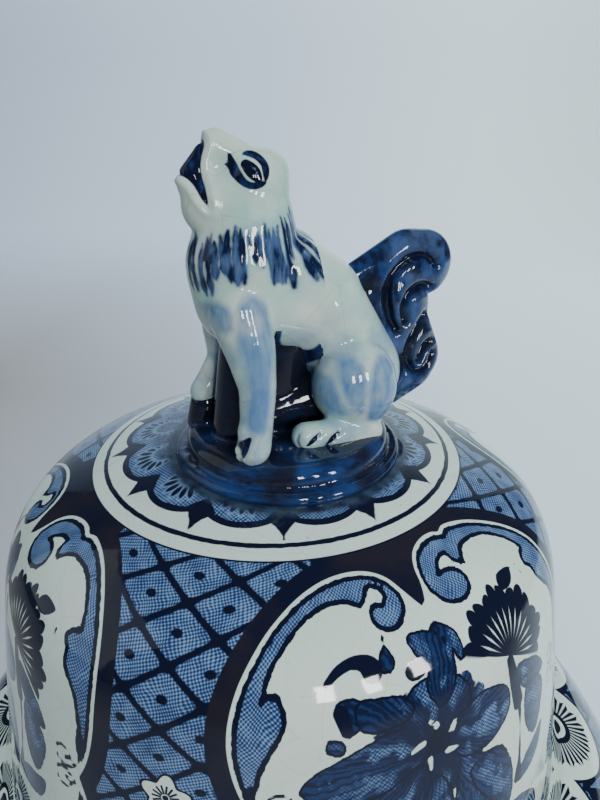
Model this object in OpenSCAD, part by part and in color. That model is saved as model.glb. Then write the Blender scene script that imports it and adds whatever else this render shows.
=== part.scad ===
// Covered ginger jar: a baluster jar with an upright neck, and a bell-shaped
// lid that drops over the neck and rests on the shoulder. A seated guardian
// lion on a round plinth is the lid's handle.
// Millimetres, +Z up, origin at the centre of the foot's resting face.

/* [Jar] */
// Height from the resting face to the seat that carries the lid
seat_z = 290; // [260:1:320]
// Largest radius, at the belly
belly_r = 116; // [108:1:124]
// Height of the largest radius
belly_z = 208; // [195:1:215]
// Outer radius of the foot
foot_r = 68; // [65:1:72]
// Smallest radius, at the waist above the foot
waist_r = 63; // [60:1:64]
// Height of the waist
waist_z = 26; // [24:1:34]
// Wall thickness of the jar
jar_wall = 6; // [5:0.5:7]

/* [Neck] */
// Outer radius of the upright neck
neck_r = 61; // [58:0.5:62]
// Height of the neck above the seat
neck_h = 32; // [24:1:34]
// Wall thickness of the neck
neck_wall = 5; // [4:0.5:6]

/* [Lid] */
// Outer radius of the lid's rim
rim_r = 74.5; // [74:0.25:76]
// Outer radius where the wall turns over into the crown
dome_r = 66.2; // [65.5:0.1:67]
// Height of that turn above the rim
turn_h = 54.7; // [52:0.1:57]
// Height of the crown's centre above the rim
crown_h = 85.7; // [83:0.1:88]
// Radius where the flat crown ends and the turn begins
crown_r = 46; // [44:1:48]
// Wall thickness of the lid
lid_wall = 5; // [4:0.5:5.5]
// Clearance between the rim and the seat
seat_gap = 0.3; // [0.2:0.05:0.5]

/* [Finial] */
// Radius of the plinth
plinth_r = 22.9; // [21:0.1:24]
// Height of the plinth above the crown
plinth_h = 5; // [4:0.5:6]
// Lion's centre to the right of the lid's axis
plinth_x = 1.6; // [0:0.1:3]
// Lion's centre in front of the lid's axis
plinth_y = -5; // [-7:0.5:0]
// Direction that the lion faces, in degrees from +X
lion_turn = 206; // [190:1:220]

/* [Hidden] */
curve_steps = 14;           // straight steps in one stretch of a profile
round_fn = 96;              // facets of a turned piece, rebuilt as a true round
lump_fn = 24;               // facets of a modelled lump
rim_z = seat_z + seat_gap;
crown_z = rim_z + crown_h;
turn_z = rim_z + turn_h;
neck_top = seat_z + neck_h;
seat_r = rim_r + 3;         // outer edge of the flat seat
foot_ring_w = 9;            // width of the resting ring
foot_hollow = 7;            // depth of the hollow inside the resting ring
floor_z = 15;               // inside floor of the jar
plinth_base = crown_z - 2.1; // the crown's height under the plinth's edge
plinth_shift = [0.4, 0.9]; // the disc's centre from the lion's, in the lion's directions
ink = "midnightblue";
glaze = "gainsboro";
celadon = "powderblue";

// A point at t along a cubic curve from a to d, steered by b and c.
function bez(a, b, c, d, t) =
    pow(1 - t, 3) * a + 3 * pow(1 - t, 2) * t * b
    + 3 * (1 - t) * pow(t, 2) * c + pow(t, 3) * d;

// The points of one stretch, without its last point.
function stretch(a, b, c, d) =
    [for (i = [0 : curve_steps - 1]) bez(a, b, c, d, i / curve_steps)];

// A profile moved sideways by w, to the left of its direction of travel.
function inset(p, w) = [
    for (i = [0 : len(p) - 1])
        let (d = p[min(i + 1, len(p) - 1)] - p[max(i - 1, 0)])
            p[i] + w * [-d[1], d[0]] / norm(d)
];

function reversed(p) = [for (i = [len(p) - 1 : -1 : 0]) p[i]];

// Outside of the jar, from the foot up to the edge of the seat.
jar_side = concat(
    stretch([foot_r, 4], [foot_r - 1, 11], [waist_r, 16], [waist_r, waist_z]),
    stretch([waist_r, waist_z], [waist_r, waist_z + 36],
            [belly_r, belly_z - 84], [belly_r, belly_z]),
    stretch([belly_r, belly_z], [belly_r, belly_z + 37],
            [seat_r + 19.5, seat_z - 13], [seat_r + 8, seat_z - 3.4]),
    [[seat_r + 8, seat_z - 3.4], [seat_r, seat_z]]
);

// Outside of the lid, from the rim up to the middle of the crown.
lid_side = concat(
    stretch([rim_r, rim_z], [rim_r - 2.5, rim_z + 17.7],
            [dome_r + 2.3, turn_z - 12], [dome_r, turn_z]),
    stretch([dome_r, turn_z], [dome_r - 2.2, turn_z + 14.5],
            [crown_r + 11, crown_z - 12.8], [crown_r, crown_z - 8.7]),
    stretch([crown_r, crown_z - 8.7], [crown_r * 0.68, crown_z - 2.8],
            [crown_r * 0.34, crown_z], [0, crown_z]),
    [[0, crown_z]]
);

module jar_body() {
    inner = [for (p = inset(jar_side, jar_wall))
        if (p[1] > floor_z + 12 && p[1] < seat_z - jar_wall) p];
    outline = concat(
        [[0, foot_hollow], [foot_r - foot_ring_w - 2, foot_hollow],
         [foot_r - foot_ring_w, 0], [foot_r - 3, 0], [foot_r, 4]],
        jar_side,
        [[neck_r, seat_z], [neck_r, neck_top - 1.5], [neck_r - 1.5, neck_top],
         [neck_r - neck_wall + 1.5, neck_top], [neck_r - neck_wall, neck_top - 1.5],
         [neck_r - neck_wall, seat_z - jar_wall]],
        reversed(inner),
        [[waist_r - 16, floor_z + 2], [0, floor_z]]
    );
    color(glaze) rotate_extrude($fn = round_fn) polygon(outline);
}

module lid_shell() {
    inner = [for (p = inset(lid_side, lid_wall)) if (p[0] > 1 && p[1] > rim_z + 4) p];
    outline = concat(
        [[rim_r - lid_wall + 1, rim_z], [rim_r - 1, rim_z]],
        [for (i = [1 : len(lid_side) - 1]) lid_side[i]],
        [[0, crown_z - lid_wall]],
        reversed(inner),
        [[rim_r - lid_wall - 0.3, rim_z + 2]]
    );
    color(glaze) rotate_extrude($fn = round_fn) polygon(outline);
}

// Puts its children on the plinth's foot, turned the way the lion faces:
// +X is forwards, +Y is the lion's left and +Z is up from the crown.
module on_crown() {
    translate([plinth_x, plinth_y, plinth_base]) rotate(lion_turn) children();
}

// One lump of clay drawn out between two balls, each given as [place, radius],
// and flattened from side to side.
module lump(a, b, flat = 1) {
    hull() {
        translate(a[0]) scale([1, flat, 1]) sphere(a[1], $fn = lump_fn);
        translate(b[0]) scale([1, flat, 1]) sphere(b[1], $fn = lump_fn);
    }
}

// Round plinth with a soft edge, the rock that fills the space under the
// body, and the stone under the right fore paw.
module lion_plinth() {
    color(ink) on_crown() {
        translate([plinth_shift[0], plinth_shift[1], 0]) rotate_extrude($fn = round_fn) polygon([
            [0, -1.5], [plinth_r - 1, -1.5], [plinth_r, 0], [plinth_r, plinth_h - 3],
            [plinth_r - 1.5, plinth_h - 1], [plinth_r - 4, plinth_h], [0, plinth_h]]);
        lump([[9, 0, 8], 6], [[-6, 0, 10], 8]);
        lump([[12, 1, 6], 6], [[10, 1, 24], 5.5]);
        lump([[16.6, -8, 9], 3.6], [[17.2, -8.5, 4.6], 3.9]);
    }
}

module lion_figure() {
    color(celadon) on_crown() {
        // head: skull, muzzle, lower jaw, tongue between them, and throat
        lump([[6.9, 0, 55.2], 7.3], [[4.4, 0, 57.5], 5], 0.95);
        lump([[7.2, 0, 55.5], 6.8], [[13.8, 0, 62.8], 3.1], 0.8);
        lump([[8.1, 0, 52.1], 7.3], [[18.4, 0, 56], 3.3], 0.8);
        lump([[14.3, 0, 62.2], 2.9], [[18.7, 0, 56.8], 3.1], 0.75);
        lump([[8.2, 0, 50.2], 9.2], [[14.7, 0, 52.4], 5.4], 0.85);
        // mane, chest, flank and rump
        lump([[8.6, 0, 46.5], 10.2], [[9.5, 0, 40.7], 11.5], 0.9);
        lump([[9.5, 0, 40.7], 11.5], [[8.8, 0, 34.5], 11.1], 0.9);
        lump([[1.4, 0, 36.8], 9.9], [[-6.8, 0, 30.6], 10.4], 0.95);
        lump([[-7.4, 0, 30.5], 10.4], [[-17, 0, 14], 11.1]);
        lump([[8.8, 0, 34.5], 10.2], [[-6.8, 0, 30.6], 10.1], 0.95);
        // left foreleg, set out on the plinth's edge
        lump([[12.8, 6, 32.8], 6.2], [[11.9, 9, 25.4], 5]);
        lump([[11.9, 9, 25.4], 5], [[11.7, 11.5, 18.8], 3.8]);
        lump([[11.7, 11.5, 18.8], 3.8], [[12.7, 13, 12], 3.4]);
        lump([[12.7, 13, 12], 3.4], [[14.1, 13.6, 7], 3.9]);
        // right foreleg, raised on the stone
        lump([[11.9, -6, 26.9], 6.5], [[14.8, -8, 19.8], 3]);
        lump([[14.8, -8, 19.8], 3], [[17, -8, 12.2], 3.1]);
        for (side = [-1, 1]) {
            lump([[-11.6, side * 9.5, 15], 9.8], [[-12.3, side * 9.5, 13.9], 9.5], 0.8);
            lump([[-13.6, side * 13, 4.6], 3.4], [[2, side * 13, 6.6], 3]);
        }
    }
}

// One stretch of the tail's outline, drawn between two discs [place, radius].
module plume(a, b) {
    hull() {
        translate(a[0]) circle(a[1], $fn = round_fn);
        translate(b[0]) circle(b[1], $fn = round_fn);
    }
}

// Flat upright plume behind the back, with a curled top and a lower lobe.
module lion_tail() {
    thick = 7;
    color(ink) on_crown() rotate([90, 0, 0]) translate([0, 0, -thick / 2])
        linear_extrude(thick) {
            plume([[-17.3, 34.4], 4.4], [[-29.8, 37.6], 7.3]);
            plume([[-29.8, 37.6], 7.3], [[-34.6, 37.2], 7.3]);
            plume([[-28.4, 30.4], 7.6], [[-30, 22.9], 6.9]);
            plume([[-30, 22.9], 6.9], [[-33.8, 14.5], 7]);
            plume([[-33.4, 12.3], 6], [[-27.4, 8.3], 4.8]);
            plume([[-24, 20], 6], [[-20, 30], 6]);
        }
}

jar_body();
lid_shell();
lion_plinth();
lion_figure();
lion_tail();
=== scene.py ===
# %% [markdown]
# # A covered ginger jar
# The jar is blue-and-white earthenware: a tall jar with an upright neck, and a
# bell-shaped lid that drops over the neck. A seated lion is the lid's handle.
# The CAD model holds the sizes. Here every piece gets a finely built skin and
# its painted and printed glaze. All lengths below are millimetres until MM
# turns them into Blender's metres.

# %% Load the fixed frame
import math

import bpy
import numpy as np
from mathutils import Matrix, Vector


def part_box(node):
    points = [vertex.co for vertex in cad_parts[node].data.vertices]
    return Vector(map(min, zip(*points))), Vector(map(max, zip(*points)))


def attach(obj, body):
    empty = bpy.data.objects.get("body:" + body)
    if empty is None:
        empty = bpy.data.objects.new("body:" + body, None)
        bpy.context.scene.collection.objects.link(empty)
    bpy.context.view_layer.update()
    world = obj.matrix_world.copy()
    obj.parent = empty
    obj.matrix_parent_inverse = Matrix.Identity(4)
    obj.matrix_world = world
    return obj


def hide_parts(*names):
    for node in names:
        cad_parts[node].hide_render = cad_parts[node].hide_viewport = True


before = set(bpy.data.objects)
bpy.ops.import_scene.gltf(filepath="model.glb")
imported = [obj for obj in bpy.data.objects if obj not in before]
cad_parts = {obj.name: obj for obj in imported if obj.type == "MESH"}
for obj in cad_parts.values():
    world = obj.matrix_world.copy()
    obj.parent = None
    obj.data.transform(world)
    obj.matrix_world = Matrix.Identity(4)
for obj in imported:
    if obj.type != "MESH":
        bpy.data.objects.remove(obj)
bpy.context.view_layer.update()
MM = 0.001


# %% Measure the frame
def node_box(name):
    """Lowest and highest corner of a CAD node, in millimetres."""
    low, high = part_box(name)
    return np.array(low) / MM, np.array(high) / MM


lid_low, lid_high = node_box("lid_shell")
jar_low, jar_high = node_box("jar_body")
plinth_low, plinth_high = node_box("lion_plinth")
RIM_Z = lid_low[2]
CROWN_Z = lid_high[2]
RIM_R = (lid_high[0] - lid_low[0]) / 2
BELLY_R = (jar_high[0] - jar_low[0]) / 2
NECK_TOP = jar_high[2]
SEAT_Z = RIM_Z - 0.3
print(f"rim at {RIM_Z:.1f}, crown at {CROWN_Z:.1f}, rim radius {RIM_R:.1f}, belly {BELLY_R:.1f}")

# %% [markdown]
# ## The camera
# A telephone held close and a little above the lid, looking down by 24 degrees.
# It comes first, because every later step is judged through it.

# %% Place the camera
CAMERA_X, CAMERA_Y, CAMERA_Z = 4.5, -130.0, 438.8
CAMERA_TILT = math.radians(90 - 24)
LENS_MM = 27.05

bpy.ops.object.camera_add(
    location=(CAMERA_X * MM, CAMERA_Y * MM, CAMERA_Z * MM),
    rotation=(CAMERA_TILT, 0, 0),
)
camera = bpy.context.object
camera.name = "camera"
camera.data.lens = LENS_MM
camera.data.clip_start = 0.01
bpy.context.scene.camera = camera
print("camera placed, lens", camera.data.lens)

# %% [markdown]
# ## Small tools for modelling
# Each piece starts as an outline or a primitive and is finished with Blender's
# own operators. These helpers select, merge and tidy, so that each later cell
# says only what is special about its piece.


# %% Modelling helpers
def deselect():
    if bpy.context.object and bpy.context.object.mode != "OBJECT":
        bpy.ops.object.mode_set(mode="OBJECT")
    bpy.ops.object.select_all(action="DESELECT")


def pick(*objects):
    """Selects these objects; the last one is the active one."""
    deselect()
    for o in objects:
        o.select_set(True)
    bpy.context.view_layer.objects.active = objects[-1]


def finish_mesh(piece, merge=1e-6, smooth_angle=40):
    """Merges doubled points, turns the faces outwards and shades smoothly."""
    pick(piece)
    bpy.ops.object.mode_set(mode="EDIT")
    bpy.ops.mesh.select_all(action="SELECT")
    bpy.ops.mesh.remove_doubles(threshold=merge)
    bpy.ops.mesh.dissolve_degenerate(threshold=merge)
    bpy.ops.mesh.normals_make_consistent(inside=False)
    bpy.ops.object.mode_set(mode="OBJECT")
    bpy.ops.object.shade_smooth_by_angle(angle=math.radians(smooth_angle))
    return piece


def points_of(piece):
    """The piece's points in millimetres, one row each."""
    co = np.zeros(len(piece.data.vertices) * 3, np.float32)
    piece.data.vertices.foreach_get("co", co)
    return co.reshape(-1, 3).astype(float) / MM


def paint_values(piece, name, values):
    """Stores one number per point, which a material reads by its name."""
    layer = piece.data.attributes.new(name, "FLOAT", "POINT")
    layer.data.foreach_set("value", np.asarray(values, np.float32))


def draw_curve(start, pull_a, pull_b, end, steps):
    """A cubic curve in the XZ plane, drawn with its two handles, as a mesh."""
    deselect()
    bpy.ops.curve.primitive_bezier_curve_add()
    curve = bpy.context.object
    spline = curve.data.splines[0]
    spline.resolution_u = steps
    first, last = spline.bezier_points
    for point in (first, last):
        point.handle_left_type = point.handle_right_type = "FREE"
    places = ((first, "co", start), (first, "handle_right", pull_a),
              (last, "handle_left", pull_b), (last, "co", end),
              (first, "handle_left", start), (last, "handle_right", end))
    for point, field, (r, z) in places:
        setattr(point, field, (r * MM, 0, z * MM))
    bpy.ops.object.convert(target="MESH")
    return bpy.context.object


def throw(name, stretches, sectors):
    """Turns an outline about Z, as on a wheel. Each stretch is a cubic curve,
    and each sector is (degrees, steps), so a part of the turn can be finer."""
    lines = [draw_curve(*s) for s in stretches]
    pick(*lines)
    bpy.ops.object.join()
    piece = bpy.context.object
    piece.name = piece.data.name = name
    start = math.radians(-90 - sectors[0][0] / 2)
    bpy.ops.object.mode_set(mode="EDIT")
    bpy.ops.mesh.select_all(action="SELECT")
    bpy.ops.mesh.remove_doubles(threshold=1e-6)
    for degrees, steps in sectors:
        bpy.ops.mesh.spin(steps=steps, angle=math.radians(degrees),
                          center=(0, 0, 0), axis=(0, 0, 1))
    bpy.ops.object.mode_set(mode="OBJECT")
    piece.rotation_euler = (0, 0, start)
    bpy.ops.object.transform_apply(location=True, rotation=True, scale=True)
    finish_mesh(piece)
    print(f"{name}: {len(piece.data.polygons)} faces")
    return piece


def line(a, b, steps=1):
    """A straight stretch of an outline, in the form that throw() takes."""
    a, b = np.array(a, float), np.array(b, float)
    return (a, a + (b - a) / 3, b - (b - a) / 3, b, steps)


def curve_point(stretch, t):
    a, b, c, d = (np.array(p, float) for p in stretch[:4])
    return (1 - t) ** 3 * a + 3 * (1 - t) ** 2 * t * b + 3 * (1 - t) * t ** 2 * c + t ** 3 * d


def inner_wall(stretches, w, steps):
    """The same outline moved by w to the right of its travel and drawn back to
    front: the inside of a wall. Neighbouring stretches keep sharing their ends."""
    joints = []
    for i in range(len(stretches) + 1):
        before = stretches[max(i - 1, 0)]
        after = stretches[min(i, len(stretches) - 1)]
        d = np.zeros(2)
        if i > 0:
            d = d + curve_point(before, 1) - curve_point(before, 0.98)
        if i < len(stretches):
            d = d + curve_point(after, 0.02) - curve_point(after, 0)
        joints.append(w * np.array([d[1], -d[0]]) / np.linalg.norm(d))
    moved = []
    for i, stretch in enumerate(stretches):
        a, b, c, d = (np.array(p, float) for p in stretch[:4])
        near, far = joints[i], joints[i + 1]
        ends = [d + far, c + far, b + near, a + near]
        for p in ends:
            p[0] = 0 if p[0] < 0.5 else p[0]
        moved.append((*ends, steps))
    return moved[::-1]


# %% [markdown]
# ## The lid and the jar on the wheel
# Both are round, so each is one outline turned about the axis. The outline is
# a chain of cubic curves, as a potter's template is a chain of bends. The
# front third of the lid gets finer steps, because the printed pattern is
# stored at its points and that part is seen from closest.

# %% Throw the lid
CROWN_R, DOME_R, TURN_Z, LID_WALL = 46.0, 66.2, RIM_Z + 54.7, 5.0
lid_outside = [
    ((0, CROWN_Z), (CROWN_R * 0.34, CROWN_Z), (CROWN_R * 0.68, CROWN_Z - 2.8),
     (CROWN_R, CROWN_Z - 8.7), 18),
    ((CROWN_R, CROWN_Z - 8.7), (CROWN_R + 11, CROWN_Z - 12.8), (DOME_R - 2.2, TURN_Z + 14.5),
     (DOME_R, TURN_Z), 58),
    ((DOME_R, TURN_Z), (DOME_R + 2.3, TURN_Z - 12), (RIM_R - 2.1, RIM_Z + 18),
     (RIM_R, RIM_Z + 2), 90),
]
lid_inside = inner_wall(lid_outside, LID_WALL, 5)
lip_out, lip_in = np.array(lid_outside[-1][3]), np.array(lid_inside[0][0])
lid_lip = [
    (lip_out, (RIM_R + 0.1, RIM_Z + 0.9), (RIM_R - 0.3, RIM_Z), (RIM_R - 1.6, RIM_Z), 4),
    line((RIM_R - 1.6, RIM_Z), (RIM_R - 3.6, RIM_Z)),
    ((RIM_R - 3.6, RIM_Z), (RIM_R - 4.9, RIM_Z), lip_in - (0, 1.2), lip_in, 4),
]
FRONT_DEGREES = 132
lid_skin = throw("lid_skin", lid_outside + lid_lip + lid_inside,
                 [(FRONT_DEGREES, 300), (360 - FRONT_DEGREES, 216)])

# %% Throw the jar
FOOT_R, WAIST_R, WAIST_Z, BELLY_Z, JAR_WALL = 68.0, 63.0, 26.0, 208.0, 6.0
NECK_R, NECK_WALL, SEAT_R = 61.0, 5.0, RIM_R + 2.9
jar_outside = [
    line((SEAT_R, SEAT_Z), (SEAT_R + 8, SEAT_Z - 3.4), 8),
    ((SEAT_R + 8, SEAT_Z - 3.4), (SEAT_R + 19.5, SEAT_Z - 13), (BELLY_R, BELLY_Z + 37),
     (BELLY_R, BELLY_Z), 62),
    ((BELLY_R, BELLY_Z), (BELLY_R, BELLY_Z - 84), (WAIST_R, WAIST_Z + 36),
     (WAIST_R, WAIST_Z), 104),
    ((WAIST_R, WAIST_Z), (WAIST_R, 16), (FOOT_R - 1, 11), (FOOT_R, 4), 16),
]
foot_ring = [
    ((FOOT_R, 4), (FOOT_R + 0.1, 1.5), (FOOT_R - 1, 0), (FOOT_R - 3, 0), 5),
    line((FOOT_R - 3, 0), (FOOT_R - 9, 0), 2),
    line((FOOT_R - 9, 0), (FOOT_R - 11, 7), 3),
    line((FOOT_R - 11, 7), (0, 7), 6),
]
jar_neck = [
    line((NECK_R - NECK_WALL, SEAT_Z - 6), (NECK_R - NECK_WALL, NECK_TOP - 2), 4),
    ((NECK_R - NECK_WALL, NECK_TOP - 2), (NECK_R - NECK_WALL, NECK_TOP),
     (NECK_R, NECK_TOP), (NECK_R, NECK_TOP - 2), 8),
    line((NECK_R, NECK_TOP - 2), (NECK_R, SEAT_Z + 1.2), 4),
    ((NECK_R, SEAT_Z + 1.2), (NECK_R, SEAT_Z), (NECK_R, SEAT_Z), (NECK_R + 1.5, SEAT_Z), 4),
    line((NECK_R + 1.5, SEAT_Z), (SEAT_R, SEAT_Z), 3),
]
jar_inside = inner_wall(jar_outside[1:3], JAR_WALL, 10)
wall_low, wall_high = np.array(jar_inside[0][0]), np.array(jar_inside[-1][3])
jar_inside = (
    [line((0, 15), (WAIST_R - 18, 15), 3),
     ((WAIST_R - 18, 15), (WAIST_R - 9, 15), wall_low - (0, 6), wall_low, 5)]
    + jar_inside
    + [(wall_high, wall_high + (-9, 3), (NECK_R - NECK_WALL, SEAT_Z - 10),
        (NECK_R - NECK_WALL, SEAT_Z - 6), 6)]
)
jar_skin = throw("jar_skin", jar_inside + jar_neck + jar_outside + foot_ring, [(360, 376)])

# %% [markdown]
# ## Distance, the printer's measure
# The pattern was printed from an engraved plate, wrapped round the clay as thin
# paper. To put each drawn shape on the pot, every point of the skin is told how
# far it is from the shape's edge, in millimetres, with a minus sign inside.
# A material can then fill the shape, or draw a line of any width round it, and
# the edge stays sharp between the points.


# %% Measuring helpers
FAR = 9.0


def smooth_outline(knots, steps=5):
    """A closed outline through the knots. A knot given twice is a sharp corner."""
    p = np.array(knots, float)
    pieces = []
    for i in range(len(p)):
        a, b, c, d = (p[(i + k) % len(p)] for k in (-1, 0, 1, 2))
        if np.allclose(b, c):
            continue
        out = (c - a) / 2 if not np.allclose(a, b) else (c - b)
        back = (d - b) / 2 if not np.allclose(c, d) else (c - b)
        limit = np.linalg.norm(c - b)
        out = out * min(1, limit / (np.linalg.norm(out) + 1e-9))
        back = back * min(1, limit / (np.linalg.norm(back) + 1e-9))
        t = np.linspace(0, 1, steps, endpoint=False)[:, None]
        h = 3 * t ** 2 - 2 * t ** 3
        pieces.append(b * (1 - h) + c * h + out * (t ** 3 - 2 * t ** 2 + t) + back * (t ** 3 - t ** 2))
    return np.vstack(pieces)


def near(xy, outline, margin=FAR):
    low, high = outline.min(0) - margin, outline.max(0) + margin
    return np.all((xy > low) & (xy < high), axis=1)


def outline_distance(xy, outline):
    """Distance of each point to a closed outline, minus inside it."""
    found = np.full(len(xy), FAR)
    close = near(xy, outline)
    q = xy[close]
    best = np.full(len(q), FAR ** 2)
    inside = np.zeros(len(q), bool)
    for a, b in zip(outline, np.roll(outline, -1, axis=0)):
        d = b - a
        t = np.clip(((q - a) @ d) / (d @ d + 1e-12), 0, 1)
        gap = q - a - t[:, None] * d
        best = np.minimum(best, (gap ** 2).sum(1))
        crosses = (a[1] > q[:, 1]) != (b[1] > q[:, 1])
        with np.errstate(divide="ignore", invalid="ignore"):
            inside ^= crosses & (q[:, 0] < a[0] + (q[:, 1] - a[1]) * d[0] / d[1])
    found[close] = np.where(inside, -1, 1) * np.sqrt(best)
    return found


def stroke_distance(xy, path):
    """Distance to a brush stroke, given as (x, y, half width) along its middle."""
    path = np.array(path, float)
    found = np.full(len(xy), FAR)
    close = near(xy, path[:, :2])
    q = xy[close]
    best = np.full(len(q), FAR)
    for a, b in zip(path, path[1:]):
        d = b[:2] - a[:2]
        t = np.clip(((q - a[:2]) @ d) / (d @ d + 1e-12), 0, 1)
        gap = np.linalg.norm(q - a[:2] - t[:, None] * d, axis=1)
        best = np.minimum(best, gap - (a[2] + t * (b[2] - a[2])))
    found[close] = best
    return found


def smooth_path(knots, steps=5):
    """An open path through (x, y, half width) knots."""
    p = np.array(knots, float)
    p = np.vstack([2 * p[0] - p[1], p, 2 * p[-1] - p[-2]])
    t = np.linspace(0, 1, steps, endpoint=False)[:, None]
    rows = [
        0.5 * (2 * b + (c - a) * t + (2 * a - 5 * b + 4 * c - d) * t ** 2
               + (3 * b - 3 * c + d - a) * t ** 3)
        for a, b, c, d in zip(p, p[1:], p[2:], p[3:])
    ]
    return np.vstack(rows + [p[-2:-1]])


class Plate:
    """An engraved plate: named layers, each the distance to all its shapes."""

    def __init__(self, xy):
        self.xy = xy
        self.layers = {}

    def keep(self, layer, distance):
        old = self.layers.get(layer, np.full(len(self.xy), FAR))
        self.layers[layer] = np.minimum(old, distance)

    def shape(self, layer, *knots):
        self.keep(layer, outline_distance(self.xy, smooth_outline(knots)))

    def stroke(self, layer, *knots):
        self.keep(layer, stroke_distance(self.xy, smooth_path(knots)))

# %% [markdown]
# ## The printed panel
# Four panels go round the lid, and four larger ones round the jar. A panel is
# a white field in a scrolled frame, with a spray of a peony, an aster and
# leaves. It is drawn once, flat, in millimetres from the panel's centre.
# The frame's lower half mirrors the upper one.

# %% Draw the panel's frame
FIELD = [
    (-36.6, 0), (-36.6, 0), (-38.6, 3), (-40.3, 7.5), (-41.3, 13), (-41.1, 18), (-39.6, 23.5),
    (-36.2, 29.5), (-32.6, 33.4), (-28.5, 36.4), (-24, 38.4), (-19.5, 39.4), (-14.8, 39.6),
    (-10.7, 38.9), (-7.5, 37.2), (-5.5, 34.5), (-3.4, 31.3), (-1.5, 29), (-1.5, 29), (0.6, 31.5),
    (2.2, 34.8), (3, 37.4), (4.8, 39.5), (7.7, 40.8), (11.3, 41.4), (14.6, 41.2), (16.4, 40.4),
    (19.6, 41.1), (24.3, 40.2), (29.1, 38.2), (33.8, 34.9), (37.4, 31), (39.8, 26.5),
    (40.8, 21), (40.8, 15), (40.2, 9.5), (38.9, 4.5), (36.8, 0), (36.8, 0),
]
LEFT_SCROLL = [
    (-38.7, 2), (-38.7, 2), (-40.4, 7.5), (-41.3, 13), (-41.1, 18), (-39.6, 23.5), (-36.2, 29.5),
    (-32.6, 33.4), (-28.5, 36.4), (-24, 38.4), (-19.5, 39.4), (-14.8, 39.6), (-10.7, 38.9),
    (-7.3, 36.9), (-5.8, 34.2), (-6.4, 31.9), (-8.4, 30), (-10.7, 29.5), (-12.8, 30.3),
    (-13.9, 32.3), (-12.8, 33.9), (-10.4, 33.7), (-10.4, 33.7), (-9.1, 35), (-10, 36.9),
    (-12.3, 37.6), (-13.2, 37.3), (-13.2, 37.3), (-13.9, 35.8), (-15.8, 34.4), (-15.8, 34.4),
    (-18, 35.6), (-21, 35.8), (-24.5, 35.3), (-28, 33.7), (-31.2, 31.1), (-34, 27.8),
    (-35.8, 24.6), (-36.9, 20.8), (-36.9, 20.8), (-34.9, 22.3), (-33.2, 20), (-33, 17.2),
    (-34.8, 13.6), (-36.7, 10), (-37.8, 6),
]
RIGHT_SCROLL = [
    (15.2, 34.3), (15.2, 34.3), (13.4, 36), (12.9, 38), (12.9, 38), (10.8, 38), (8.3, 36.8),
    (6.4, 34.9), (6.4, 34.9), (9.2, 35.2), (12, 34.2), (12.8, 32.2), (11.8, 30.4), (9, 29.4),
    (5.9, 29.7), (3.6, 31.1), (2.3, 33.2), (2.3, 35.4), (3.1, 37.6), (4.8, 39.5), (7.7, 40.8),
    (11.3, 41.4), (14.6, 41.2), (16.4, 40.4), (19.6, 41.1), (24.3, 40.2), (29.1, 38.2),
    (33.8, 34.9), (37.4, 31), (39.8, 26.5), (40.8, 21), (40.8, 15), (40.2, 9.5), (38.9, 4),
    (38.9, 4), (38, 7), (38.3, 11.5), (37.3, 16.8), (34.9, 19.9), (33.3, 22), (33, 24.4),
    (31.7, 25.9), (32.8, 27.5), (35.2, 28.2), (35.2, 28.2), (33, 32), (29.8, 35), (26.7, 36.6),
    (23.1, 37.3), (19.6, 37.4), (17.2, 36.4),
]
FIELD_CURL = [
    (38.7, 7.2, 0.4), (38, 3.2, 0.4), (35.6, 0.7, 0.35), (32.6, 0.8, 0.35), (31.6, 2.7, 0.35),
    (32.9, 4.4, 0.35), (35, 4.3, 0.35), (35.7, 2.9, 0.4), (34.6, 2.3, 0.5),
]


def draw_frame(plate):
    """The white field, its stippled scrolls and the curls at its waist."""
    folded = Plate(np.column_stack([plate.xy[:, 0], np.abs(plate.xy[:, 1])]))
    upper = [p for p in FIELD if p[1] > 0]
    lower = [(x, -y) for x, y in reversed(FIELD) if y > 0]
    whole = [(-36.6, 0)] * 2 + upper + [(36.8, 0)] * 2 + lower
    plate.shape("field", *whole)
    folded.shape("band", *LEFT_SCROLL)
    folded.shape("band", *RIGHT_SCROLL)
    folded.stroke("curl", *FIELD_CURL)
    folded.stroke("curl", *((-x, y, w) for x, y, w in FIELD_CURL))
    plate.keep("band", folded.layers["band"])
    plate.keep("ink", folded.layers["curl"])


# %% Draw the panel's spray
ASTER = (14.4, 15.6)
HEART = (-5.4, 8.2)


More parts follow.
